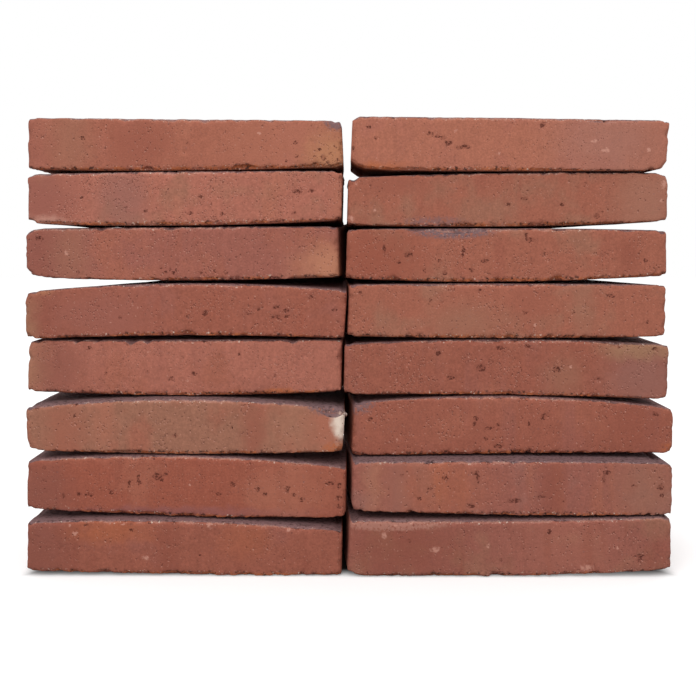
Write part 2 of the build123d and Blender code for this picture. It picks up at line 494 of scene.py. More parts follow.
@dataclass
class ClayRecipes:
    """The effects that every clay shares: where it is torn, how it is kneaded, its pores and its crust.

    Noises are given by the size of their lumps in millimetres and their detail, and grains by that size and
    their depth. An ease is the two values of a mask between which its effect comes up.
    """

    frayed: tuple[float, float] = (1.3, 2.0)
    torn: tuple[float, float] = (2.0, 4.0)
    drifting: tuple[float, float] = (13.0, 5.0)
    lean_lumps: Fold = Fold(34.0, 3.0, 0.48, 0.68, 0.75)
    rich_bands: Fold = Fold(15.0, 3.0, 0.5, 0.72, 0.7)
    band_squeeze: float = 0.2
    wipes: tuple[float, float] = (2.6, 3.0)
    wipe_squeeze: float = 0.09
    grains: tuple[tuple[float, float], ...] = ((6.0, 0.3), (1.5, 0.6))
    grain_detail: float = 4.0
    pore_crowds: Fold = Fold(19.0, 3.0, 0.42, 0.62, 1.7)
    lone_pores: float = 0.15
    fine_pores: Strewing = Strewing(1.6, 0.14, 0.42)
    wide_pores: Strewing = Strewing(4.7, 0.08, 0.2)
    # The shift, in millimetres, that sets where each pore's lower lip is painted pale as a highlight from above.
    lit_lip_shift: tuple[float, float, float] = (0.3, 0.0, 0.7)
    pale_grains: Strewing = Strewing(2.7, 0.1, 0.25)
    pale_share: float = 0.16
    grit: tuple[float, float] = (1.3, 4.0)
    grit_height: float = 1.1
    broad: tuple[float, float] = (10.0, 3.0)
    fine: tuple[float, float] = (1.8, 4.0)
    fine_push: float = 1.8
    ash_and_skylight_ease: tuple[float, float] = (0.2, 0.7)
    soot: Fold = Fold(2.6, 4.0, 0.5, 0.66, 0.75)
    rims: tuple[Rim, ...] = (Rim("burr", "Burr", 0.8, 0.4, 0.56), Rim("crown", "Crumb", 0.55, 0.6, 0.44))
    rim_ease: tuple[float, float] = (0.4, 0.95)
    arris_ease: tuple[float, float] = (0.08, 0.6)
    nibs: Fold = Fold(1.7, 2.0, 0.62, 0.7, 0.65)
    # Holes along the arrises are painted near black as shade in the voids at the joints.
    gap_ease: tuple[float, float] = (0.56, 0.66)
    holes: Fold = Fold(3.0, 4.0, 0.45, 0.36, 0.8)

    def __post_init__(self) -> None:
        """Builds the four shared groups."""
        self.place = self.build_place()
        self.kneaded = self.build_kneaded()
        self.pores = self.build_pores()
        self.crust = self.build_crust()

    def build_place(self) -> Recipe:
        """Object coordinates, plain and pushed about by noise of three sizes, so that edges come out ragged.

        Returns:
            The recipe, which gives the four places.
        """
        recipe = Recipe("clay_place", {"Frayed by": "Float", "Torn by": "Float", "Drifting by": "Float"},
                        {"Plain": "Vector", "Frayed": "Vector", "Torn": "Vector", "Drifting": "Vector"})
        board = recipe.board
        plain = board.put("ShaderNodeTexCoord").outputs["Object"]
        recipe.give("Plain", plain)
        for name, (lump, detail) in {"Frayed": self.frayed, "Torn": self.torn, "Drifting": self.drifting}.items():
            plugs = {"Vector": plain, "Scale": 1 / (lump * MM), "Detail": detail}
            push = board.put("ShaderNodeTexNoise", plugs).outputs["Color"]
            plugs = {0: board.move("SUBTRACT", push, (0.5, 0.5, 0.5)), "Scale": recipe.inlet[f"{name} by"]}
            scaled = board.put("ShaderNodeVectorMath", plugs, operation="SCALE").outputs[0]
            recipe.give(name, board.move("ADD", plain, scaled))
        return recipe

    def build_kneaded(self) -> Recipe:
        """The clay's own colour: body, lean and rich clay folded together, wiped upright, and grained.

        Returns:
            The recipe, which gives a colour.
        """
        takes = {"Place": "Vector", "Body": "Color", "Lean": "Color", "Rich": "Color", "Streaks": "Float"}
        recipe = Recipe("kneaded_clay", takes, {"Color": "Color"})
        board, inlet = recipe.board, recipe.inlet
        color = board.blend(inlet["Body"], inlet["Lean"], board.fold(inlet["Place"], self.lean_lumps))
        banded = board.move("MULTIPLY", inlet["Place"], (1.0, 1.0, self.band_squeeze))
        color = board.blend(color, inlet["Rich"], board.fold(banded, self.rich_bands))
        wiped = board.move("MULTIPLY", inlet["Place"], (1.0, 1.0, self.wipe_squeeze))
        streak = board.reckon("SUBTRACT", board.noise(wiped, *self.wipes), 0.5)
        level = board.reckon("MULTIPLY", streak, inlet["Streaks"])
        for lump, depth in self.grains:
            grain = board.reckon("SUBTRACT", board.noise(inlet["Place"], lump, self.grain_detail), 0.5)
            level = board.reckon("ADD", level, board.reckon("MULTIPLY", grain, depth))
        level = board.reckon("ADD", level, 1.0)
        recipe.give("Color", board.blend(color, level, 1.0, "MULTIPLY"))
        return recipe

    def build_pores(self) -> Recipe:
        """Pores and grains: hashed spots in cells of three sizes. Pores crowd where a broad noise is high.

        Returns:
            The recipe, which gives masks of the pores, painted dark as shade in them, of their lower lips, painted
            pale as a highlight from above, and of the pale grains, and a height.
        """
        recipe = Recipe("clay_pores", {"Place": "Vector", "Frayed": "Vector", "Open": "Float"},
                        {"Pores": "Float", "Lit lips": "Float", "Grains": "Float", "Height": "Float"})
        board, inlet = recipe.board, recipe.inlet
        crowd = board.fold(inlet["Place"], self.pore_crowds)
        kept = board.reckon("MULTIPLY", inlet["Open"], board.reckon("ADD", crowd, self.lone_pores))
        # Each pore's lower lip is painted pale: a painted highlight where light from above falls into the pore.
        above = board.move("ADD", inlet["Frayed"], tuple(step * MM for step in self.lit_lip_shift))
        masks = []
        for place in (inlet["Frayed"], above):
            fine, wide = (board.strew(place, size, kept) for size in (self.fine_pores, self.wide_pores))
            masks.append(board.reckon("MAXIMUM", fine, wide))
        recipe.give("Pores", masks[0])
        recipe.give("Lit lips", board.reckon("SUBTRACT", masks[1], masks[0]))
        recipe.give("Grains", board.strew(inlet["Frayed"], self.pale_grains, self.pale_share))
        rough = board.reckon("MULTIPLY", board.noise(inlet["Place"], *self.grit), self.grit_height)
        recipe.give("Height", board.reckon("SUBTRACT", rough, masks[0]))
        return recipe

    def build_crust(self) -> Recipe:
        """What kiln and mould left outside: soot, and ash that is partly painted cool skylight, on upward beds,
        burrs below, crumbs above, nibs, and holes painted dark as shade.

        Returns:
            The recipe, which gives a colour, and a mask of the holes along the arrises, painted near black as
            shade in the voids at the joints.
        """
        takes = {"Place": "Vector", "Color": "Color", "Ash and skylight": "Color", "Burr": "Color", "Crumb": "Color",
                 "Soot and shade": "Color", "Nib": "Color", "Ashy and skylit": "Float"}
        recipe = Recipe("kiln_crust", takes, {"Color": "Color", "Holes": "Float"})
        board, inlet = recipe.board, recipe.inlet
        broad = board.noise(inlet["Place"], *self.broad)
        fine = board.noise(inlet["Place"], *self.fine)
        ragged = board.reckon("MULTIPLY", board.reckon("SUBTRACT", fine, 0.5), self.fine_push)
        color = inlet["Color"]
        # Upward-facing beds take the ash tone: partly kiln ash, partly painted cool skylight from above.
        ash_and_skylight = board.ramp(board.reckon("ADD", board.mask("bed"), ragged), *self.ash_and_skylight_ease)
        color = board.blend(color, inlet["Ash and skylight"], board.reckon("MULTIPLY", ash_and_skylight, inlet["Ashy and skylit"]))
        soot = board.reckon("MULTIPLY", board.fold(inlet["Place"], self.soot), ash_and_skylight)
        color = board.blend(color, inlet["Soot and shade"], board.reckon("MULTIPLY", soot, inlet["Ashy and skylit"]))
        for rim in self.rims:
            crust = board.ramp(board.reckon("ADD", board.mask(rim.mask), ragged), *self.rim_ease, rim.share)
            crust = board.reckon("MULTIPLY", crust, board.ramp(broad, rim.low, rim.high))
            color = board.blend(color, inlet[rim.tone], crust)
        foot, head = (board.ramp(board.mask(rim.mask), *self.arris_ease) for rim in self.rims)
        nibs = board.fold(inlet["Place"], self.nibs)
        nibs = board.reckon("MULTIPLY", nibs, board.reckon("MAXIMUM", foot, head))
        color = board.blend(color, inlet["Nib"], nibs)
        # Painted shade: holes along the lower and upper arrises are painted near black, as in the voids at the
        # joints.
        gaps = board.reckon("MULTIPLY", head, board.ramp(broad, *self.gap_ease))
        gone = board.reckon("MAXIMUM", foot, gaps)
        holes = board.reckon("MULTIPLY", board.fold(inlet["Place"], self.holes), gone)
        recipe.give("Color", board.blend(color, inlet["Soot and shade"], holes))
        recipe.give("Holes", holes)
        return recipe


@dataclass
class FiredBrick:
    """One hand-moulded brick: a skin of quads drawn onto its solid, worn inwards and dressed in its own clay.

    chipped says that its solid has chips in the front arrises, and cells how many quads its skin has along, up
    and deep. pulls is how strongly these crowd towards the arrises. The outlines it is drawn from are taken
    arris_depth millimetres in from the front and the back.
    """

    node: str
    clay: Clay = field(default_factory=Clay)
    torn: tuple[Spot, ...] = ()
    stones: tuple[Spot, ...] = ()
    patches: tuple[Patch, ...] = ()
    nicks: tuple[Nick, ...] = ()
    cells: tuple[int, int, int] = (240, 38, 14)
    seed: int = 1
    chipped: bool = False
    heel: Heel | None = Heel()
    swells: tuple[Swell, ...] = ()
    arris_depth: float = 2.0
    pulls: tuple[float, float, float] = (0.45, 0.7, 2.2)
    wear: Wear = Wear()
    finish: Finish = Finish()

    def __post_init__(self) -> None:
        """Takes the brick's box from the frame, its front's left end and its share of quads."""
        low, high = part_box(self.node)
        self.low, self.high = np.array(low), np.array(high)
        self.left = self.outline(self.arris_depth)[0][:, 0].min()
        shape = tuple(count + 1 for count in self.cells)
        steps = np.indices(shape)
        last = np.array(self.cells).reshape(3, 1, 1, 1)
        skin = ((steps == 0) | (steps == last)).any(axis=0)
        self.number = np.full(shape, -1)
        self.number[skin] = np.arange(skin.sum())
        self.steps = steps[:, skin]

    def outline(self, depth: float) -> tuple[np.ndarray, list[int]]:
        """The solid's outline at a depth behind its long face, in order of angle round its middle.

        Args:
            depth: how far behind the front face, in millimetres.

        Returns:
            The outline's corners as x and z, from the lower left anticlockwise, closed, and where the four
            corners of the brick are in it.
        """
        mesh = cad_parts[self.node].data
        flat = np.empty(len(mesh.vertices) * 3)
        mesh.vertices.foreach_get("co", flat)
        points = flat.reshape(-1, 3)
        level = abs(points[:, 1] - self.low[1] - depth * MM) < LEVEL_WITHIN * MM
        ring = np.unique(points[level][:, [0, 2]].round(6), axis=0)
        middle = (self.low + self.high)[[0, 2]] / 2
        size = (self.high - self.low)[[0, 2]]
        away = (ring - middle) / size
        ring, away = (a[np.argsort(np.arctan2(away[:, 1], away[:, 0]))] for a in (ring, away))
        first = int(np.argmax(-away[:, 0] - away[:, 1]))
        ring, away = np.roll(ring, -first, axis=0), np.roll(away, -first, axis=0)
        corners = [0] + [int(np.argmax(away @ side)) for side in ((1, -1), (1, 1), (-1, 1))] + [len(ring)]
        return np.vstack([ring, ring[:1]]), corners

    def walls(self, depth: float) -> list[np.ndarray]:
        """The four sides of the solid's outline, walked at even shares of their length.

        Args:
            depth: how far behind the front face, in millimetres.

        Returns:
            The lower bed, right end, upper bed and left end, each from left to right or from the foot up.
        """
        ring, corners = self.outline(depth)
        walks = []
        for side, (start, stop) in enumerate(zip(corners[:-1], corners[1:])):
            stretch = ring[start:stop + 1]
            run = np.concatenate([[0], np.cumsum(np.linalg.norm(np.diff(stretch, axis=0), axis=1))])
            shares = crowded(self.cells[side % 2], self.pulls[side % 2]) * run[-1]
            walk = np.stack([np.interp(shares, run, stretch[:, axis]) for axis in (0, 1)], axis=1)
            walks.append(walk if side < 2 else walk[::-1])
        return walks

    def unchipped(self, lower: np.ndarray, right: np.ndarray, left: np.ndarray) -> list[np.ndarray]:
        """The back's outline stretched along X between the front's own ends, for a front dented by chips.

        Args:
            lower: the front's lower bed.
            right: its right end.
            left: its left end.

        Returns:
            The lower bed and the right end, upper bed and left end, as the walls give them.
        """
        walks = self.walls((self.high[1] - self.low[1]) / MM - self.arris_depth)
        ends = min(left[:, 0].min(), lower[:, 0].min()), max(right[:, 0].max(), lower[:, 0].max())
        own = min(walk[:, 0].min() for walk in walks), max(walk[:, 0].max() for walk in walks)
        return [np.stack([np.interp(walk[:, 0], own, ends), walk[:, 1]], axis=1) for walk in walks]

    def face(self, depth: float) -> np.ndarray:
        """A sheet stretched over the outline, as a Coons patch: both rulings added, less the corners' blend.

        Args:
            depth: how far behind the front face, in millimetres.

        Returns:
            Places in x and z for each step along and each step up.
        """
        lower, right, upper, left = self.walls(depth)
        if self.chipped and depth == self.arris_depth:
            lower, right, upper, left = self.unchipped(lower, right, left)
        u = crowded(self.cells[0], self.pulls[0])[:, None, None]
        v = crowded(self.cells[1], self.pulls[1])[None, :, None]
        beds = (1 - v) * lower[:, None] + v * upper[:, None]
        ends = (1 - u) * left[None] + u * right[None]
        blend = (1 - v) * ((1 - u) * lower[0] + u * lower[-1]) + v * ((1 - u) * upper[0] + u * upper[-1])
        return beds + ends - blend

    def drawn(self) -> np.ndarray:
        """The skin as a ruled block between the front and the back outline, before it meets the solid.

        Returns:
            A place in metres for each point of the skin.
        """
        whole = (self.high[1] - self.low[1]) / MM
        front, back = self.face(self.arris_depth), self.face(whole - self.arris_depth)
        along, up, deep = self.steps
        behind = crowded(self.cells[2], self.pulls[2])[deep] * whole
        share = (behind - self.arris_depth) / (whole - 2 * self.arris_depth)
        flat = front[along, up] + (back - front)[along, up] * share[:, None]
        return np.stack([flat[:, 0], self.low[1] + behind * MM, flat[:, 1]], axis=1)

    def quads(self) -> np.ndarray:
        """The skin's quads, six sheets of them, each turned outwards.

        Returns:
            Four point numbers for each quad.
        """
        number = self.number
        sheets = (number[:, :, 0], number[:, :, -1].T, number[:, 0, :].T, number[:, -1, :],
                  number[0], number[-1].T)
        rows = []
        for sheet in sheets:
            corners = (sheet[:-1, :-1], sheet[1:, :-1], sheet[1:, 1:], sheet[:-1, 1:])
            rows.append(np.stack([corner.ravel() for corner in corners], axis=1))
        return np.concatenate(rows)

    def mesh(self, points: np.ndarray, name: str) -> bpy.types.Mesh:
        """Puts points and the skin's quads into a mesh."""
        made = bpy.data.meshes.new(name)
        made.from_pydata(points, [], self.quads())
        made.shade_smooth()
        return made

    def settled(self, points: np.ndarray) -> tuple[np.ndarray, np.ndarray]:
        """Draws the skin in to the nearest place on the solid, but keeps its arrises a little crisper.

        Args:
            points: the skin before it meets the solid.

        Returns:
            The skin on the solid, and which way it faces at each point.
        """
        draft = bpy.data.objects.new(f"draft_{self.node}", self.mesh(points, "draft"))
        bpy.context.scene.collection.objects.link(draft)
        wrap = draft.modifiers.new("onto_solid", "SHRINKWRAP")
        wrap.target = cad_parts[self.node]
        wrap.wrap_method = "NEAREST_SURFACEPOINT"
        found = draft.evaluated_get(bpy.context.evaluated_depsgraph_get()).to_mesh()
        flat = np.empty(len(points) * 3)
        found.vertices.foreach_get("co", flat)
        onto = flat.reshape(-1, 3)
        bpy.data.objects.remove(draft)
        wear = self.wear
        gone = np.linalg.norm(points - onto, axis=1)[:, None] / MM
        kept = wear.crisp * (1 - np.clip((gone - wear.crisp_within) / wear.crisp_fades, 0, 1))
        placed = onto + (points - onto) * kept
        shaped = self.mesh(placed, "shaped")
        shaped.vertex_normals.foreach_get("vector", flat)
        return placed, flat.reshape(-1, 3).copy()

    def arrises(self, points: np.ndarray) -> list[tuple[np.ndarray, np.ndarray, bool, bool]]:
        """The twelve arrises, each as the nearest of its points to each point of the skin.

        Args:
            points: the skin.

        Returns:
            For each arris, point numbers on it, the distance to them in metres, and whether it is a long
            arris and an upper one.
        """
        along, up, deep = self.steps
        most = self.cells
        found = []
        for first, second in itertools.product((0, 1), repeat=2):
            found.append((self.number[along, first * most[1], second * most[2]], True, bool(first)))
            found.append((self.number[first * most[0], up, second * most[2]], False, False))
            found.append((self.number[first * most[0], second * most[1], deep], False, bool(second)))
        return [(rim, np.linalg.norm(points - points[rim], axis=1), long, upper) for rim, long, upper in found]

    def placed_along(self, points: np.ndarray) -> tuple[np.ndarray, np.ndarray, np.ndarray]:
        """How many millimetres points lie from the brick's left end, behind its front and above its foot."""
        return tuple((points - (self.left, self.low[1], self.low[2])).T / MM)

    def hollows(self, points: np.ndarray) -> np.ndarray:
        """How deep the faces are worn: waves, grit and strewn pits, and a bell for each torn spot, added up.

        Args:
            points: the skin on the solid.

        Returns:
            A depth in millimetres for each point.
        """
        wear = self.wear
        depth = np.zeros(len(points))
        for step, (wave, lump) in enumerate(wear.waves):
            depth += wave * cloud(points, lump * MM, self.seed + step)
        away, size = strewn(points, wear.pit_spacing * MM, self.seed + len(wear.waves), wear.pit_share)
        reach = (wear.pit_reach[0] + wear.pit_reach[1] * size) * MM
        depth += (wear.pit_depth[0] + wear.pit_depth[1] * size) * bell(away / reach)
        across, behind, above = self.placed_along(points)
        front = np.clip(1 - behind / wear.torn_behind, 0, 1)
        least, more, most = wear.torn_depth
        rim = wear.torn_rim
        for along, up, long, high in self.torn:
            near = np.hypot((across - along) / (long / 2 + rim), (above - up) / (high / 2 + rim))
            depth += min(most, more * (long + high) / 2 + least) * bell(near) * front
        return depth

    def bitten(self, place: np.ndarray) -> np.ndarray:
        """How deep the arrises are eaten: squared clouds of three sizes, and gouges where a fourth stands high.

        Args:
            place: the nearest place on an arris for each point.

        Returns:
            A depth in millimetres for each place.
        """
        wear = self.wear
        bite = np.zeros(len(place))
        for most, lump, step in wear.bites:
            bite += most * cloud(place, lump * MM, self.seed + step) ** 2
        gouge = cloud(place, wear.gouge_lump * MM, self.seed + GOUGE_STEP) - wear.gouge_above
        return bite + wear.gouge_depth * np.clip(gouge, 0, 1)

    def worn(self, points: np.ndarray, facing: np.ndarray) -> tuple[np.ndarray, dict[str, np.ndarray]]:
        """Wears the skin inwards: hollows in its faces, every arris bitten, and its own nicks.

        Each hollow is subtracted along the way the skin faces. At an arris the whole neighbourhood goes the
        way the arris faces, falling off as exp(-(d / w)^2).

        Args:
            points: the skin on the solid.
            facing: which way it faces.

        Returns:
            The worn skin, and its masks by name.
        """
        wear = self.wear
        moved = points - facing * (self.hollows(points) * MM)[:, None]
        masks = {"burr": np.zeros(len(points)), "crown": np.zeros(len(points))}
        for rim, away, long, upper in self.arrises(points):
            bite = self.bitten(points[rim])
            reach = wear.bite_reach[0] + wear.bite_reach[1] * bite
            moved -= facing[rim] * (bite * np.exp(-((away / MM / reach) ** 2)) * MM)[:, None]
            if long:
                name, width = ("crown", wear.crown_width) if upper else ("burr", wear.burr_width)
                masks[name] = np.maximum(masks[name], np.exp(-((away / (width * MM)) ** 2)))

        across, behind, above = self.placed_along(points)
        for nick in self.nicks:
            rim = self.number[self.steps[0], self.cells[1] if nick.upper else 0, 0]
            drop = (above - above[rim]) / (wear.nick_height * nick.bite)
            shift = nick.bite * bell((across[rim] - nick.along) / nick.reach)
            shift *= np.exp(-(drop ** 2) - (behind / wear.nick_behind) ** 2)
            moved[:, 2] += (-shift if nick.upper else shift) * MM

        masks["bed"] = np.clip((facing[:, 2] - wear.bed_from) / wear.bed_over, 0, 1)
        return moved + self.standing_out(points, facing), masks

    def standing_out(self, points: np.ndarray, facing: np.ndarray) -> np.ndarray:
        """How far the swells and the heel move each point: nothing at the front, and all of it at the back.

        A swell is a bell along the brick, times the height towards its bed. The heel grows over the last sixth
        of the brick, and fills a corner by twice the product of how much it faces sideways and upwards.

        Args:
            points: the skin on the solid.
            facing: which way it faces.

        Returns:
            A move in metres for each point.
        """
        share, back, height = np.clip((points - self.low) / (self.high - self.low), 0, 1).T
        across = self.placed_along(points)[0]
        move = np.zeros_like(points)
        for swell in self.swells:
            rise = swell.rise * bell((across - swell.along) / swell.reach)
            move[:, 2] += rise * (height if swell.upper else height - 1)
        if self.heel:
            side = 1 if SIDES[0] in self.node else -1
            near = np.clip(1 - HEEL_PART * (1 - share if side > 0 else share), 0, 1)
            corner = 2 * abs(facing[:, 0] * facing[:, 2]) * self.heel.full
            move[:, 0] += near * (side * self.heel.aside + facing[:, 0] * corner)
            move[:, 2] += near * ((2 * height - 1) * self.heel.thick + facing[:, 2] * corner)
        return move * (back * MM)[:, None]

    def build(self) -> bpy.types.Object:
        """Makes the brick's object, with its masks.

        Returns:
            The finished object.
        """
        placed, facing = self.settled(self.drawn())
        moved, masks = self.worn(placed, facing)
        moved = np.clip(moved, *CAD_BOX)
        piece = bpy.data.objects.new(self.node.replace("brick", "fired"), self.mesh(moved, self.node + "_skin"))
        bpy.context.scene.collection.objects.link(piece)
        for name, values in masks.items():
            mask = piece.data.attributes.new(name, "FLOAT", "POINT")
            mask.data.foreach_set("value", values.astype(np.float32))
        return piece

    def dress(self, piece: bpy.types.Object, recipes: ClayRecipes) -> None:
        """Gives the brick its clay: kneaded colour, patches, pores, crust, torn spots and stones.

        Args:
            piece: the brick's object.
            recipes: the shared effects.
        """
        finish = self.finish
        material = bpy.data.materials.new(f"clay_{self.node}")
        material.use_nodes = True
        material.node_tree.nodes.clear()
        board = Board(material.node_tree)
        plugs = {f"{name} by": getattr(finish, name.lower()) * MM for name in ("Frayed", "Torn", "Drifting")}
        place = recipes.place.use(board, plugs).outputs
        crumbled = board.fold(place["Plain"], finish.crumbled)
        color = self.patched(board, place, crumbled, recipes)
        color, height = self.crusted(board, place, color, recipes)
        color, height = self.marked(board, place, crumbled, color, height)
        plugs = {"Height": height, "Strength": finish.bump_strength, "Distance": finish.bump_depth * MM}
        bump = board.put("ShaderNodeBump", plugs).outputs[0]
        plugs = {"Base Color": color, "Roughness": finish.roughness, "Specular IOR Level": finish.gloss,
                 "Normal": bump}
        shader = board.put("ShaderNodeBsdfPrincipled", plugs)
        board.put("ShaderNodeOutputMaterial", {"Surface": shader.outputs[0]})
        piece.data.materials.append(material)

    def patched(self, board: Board, place: Outlets, crumbled: Socket, recipes: ClayRecipes) -> Socket:
        """The kneaded clay with the brick's own patches blended over it, one after the other.

        Args:
            board: the brick's own material.
            place: the plain and the pushed places.
            crumbled: the mask that breaks up torn patches.
            recipes: the shared effects.

        Returns:
            The colour.
        """
        clay = self.clay
        tones = {name: getattr(clay, name.lower()).light(clay.shade) for name in ("Body", "Lean", "Rich")}
        plugs = {"Place": place["Plain"], "Streaks": clay.streaks, **tones}
        color = recipes.kneaded.use(board, plugs).outputs[0]
        broken = board.reckon("ADD", board.noise(place["Plain"], *self.finish.broken), 0.5)
        for patch in self.patches:
            reach = (patch.reach[0], patch.deep, patch.reach[1])
            ground = place["Torn" if patch.torn else "Drifting"]
            share = self.spot(board, ground, patch.along, patch.up, reach)
            share = board.reckon("MULTIPLY", share, crumbled if patch.torn else broken)
            share = board.ramp(share, 0.0, patch.edge, patch.share)
            color = board.blend(color, patch.tone.light(clay.shade), share)
        return color

    def crusted(self, board: Board, place: Outlets, color: Socket,
                recipes: ClayRecipes) -> tuple[Socket, Socket]:
        """A colour with the pores painted dark as shade in them, their lower lips painted pale as a highlight, the
        pale grains and the crust over it.

        Args:
            board: the brick's own material.
            place: the plain and the pushed places.
            color: the colour so far.
            recipes: the shared effects.

        Returns:
            The colour and a height.
        """
        clay, finish = self.clay, self.finish
        plugs = {"Place": place["Plain"], "Frayed": place["Frayed"], "Open": clay.open}
        pores = recipes.pores.use(board, plugs).outputs
        # Pores are painted dark as shade in them, their lower lips pale as a painted highlight; the grains are
        # pale clay.
        dark, pale = (Tone.PIT_SHADE, finish.pore_share), (Tone.BLUSH, finish.lit_lip_share)
        for name, (tone, most) in {"Pores": dark, "Lit lips": pale, "Grains": pale}.items():
            share = board.reckon("MULTIPLY", pores[name], most)
            color = board.blend(color, tone.light(finish.pore_shade), share)
        # The ash on upward beds is partly painted cool skylight.
        plugs = {"Place": place["Plain"], "Color": color, "Ashy and skylit": clay.ash_and_skylight, "Ash and skylight": Tone.ASH.light(clay.shade),
                 "Burr": clay.burr.light(clay.shade), "Crumb": Tone.BLUSH.light(clay.shade),
                 "Soot and shade": Tone.SOOT_AND_SHADE.light(), "Nib": Tone.CREAM.light()}
        crust = recipes.crust.use(board, plugs).outputs
        return crust["Color"], board.reckon("SUBTRACT", pores["Height"], crust["Holes"])

    def marked(self, board: Board, place: Outlets, crumbled: Socket, color: Socket,
               height: Socket) -> tuple[Socket, Socket]:
        """A colour and a height with the brick's own torn spots, their hollows painted dark as shade, each in a
        soft halo, and its pale stones.

        Args:
            board: the brick's own material.
            place: the plain and the pushed places.
            crumbled: the mask that breaks up the stones.
            color: the colour so far.
            height: the height so far.

        Returns:
            The colour and the height.
        """
        finish = self.finish
        if self.torn:
            torn = self.spots(board, place["Torn"], self.torn)
            color = board.blend(color, Tone.DEEP.light(finish.halo_shade), board.ramp(torn, *finish.halo))
            specks = board.fold(place["Plain"], finish.wound_specks)
            # Painted shade: the torn spots' hollows are painted near black, flecked by noise.
            torn = board.reckon("MULTIPLY", board.ramp(torn, *finish.wound), specks)
            color = board.blend(color, Tone.PIT_SHADE.light(finish.wound_shade), torn)
            height = board.reckon("SUBTRACT", height, board.reckon("MULTIPLY", torn, finish.wound_depth))
        if self.stones:
            stones = board.ramp(self.spots(board, place["Torn"], self.stones), *finish.stone)
            stones = board.reckon("MULTIPLY", stones, crumbled)
            color = board.blend(color, Tone.BLUSH.light(finish.stone_shade), stones)
        return color, height

    def spot(self, board: Board, place: Socket, along: float, up: float, reach: tuple) -> Socket:
        """A mask that is 1 at a place on the long face and 0 at its reach."""
        centre = (self.left + along * MM, self.low[1], self.low[2] + up * MM)
        plugs = {"Vector": place, "Location": centre, "Scale": tuple(size * MM for size in reach)}
        turned = board.put("ShaderNodeMapping", plugs, vector_type="TEXTURE").outputs[0]
        return board.put("ShaderNodeTexGradient", {0: turned}, gradient_type="SPHERICAL").outputs["Fac"]

    def spots(self, board: Board, place: Socket, marks: tuple[Spot, ...]) -> Socket:
        """The largest of the masks of several spots."""
        spread, behind = self.finish.spot_spread, self.finish.spot_behind
        total = None
        for along, up, long, high in marks:
            mask = self.spot(board, place, along, up, (spread * (long + 1), behind, spread * (high + 1)))
            total = mask if total is None else board.reckon("MAXIMUM", total, mask)
        return total


@dataclass
class Column:
    """One column of the stack: its bricks from the floor up."""

    bricks: list[FiredBrick]

    def raise_up(self, recipes: ClayRecipes) -> None:
        """Builds and dresses each brick, and lets it stand for its node."""
        for brick in self.bricks:
            piece = brick.build()
            brick.dress(piece, recipes)
            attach(piece, BODY)
            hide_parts(brick.node)
            log.info("%s: %d quads", piece.name, len(piece.data.polygons))


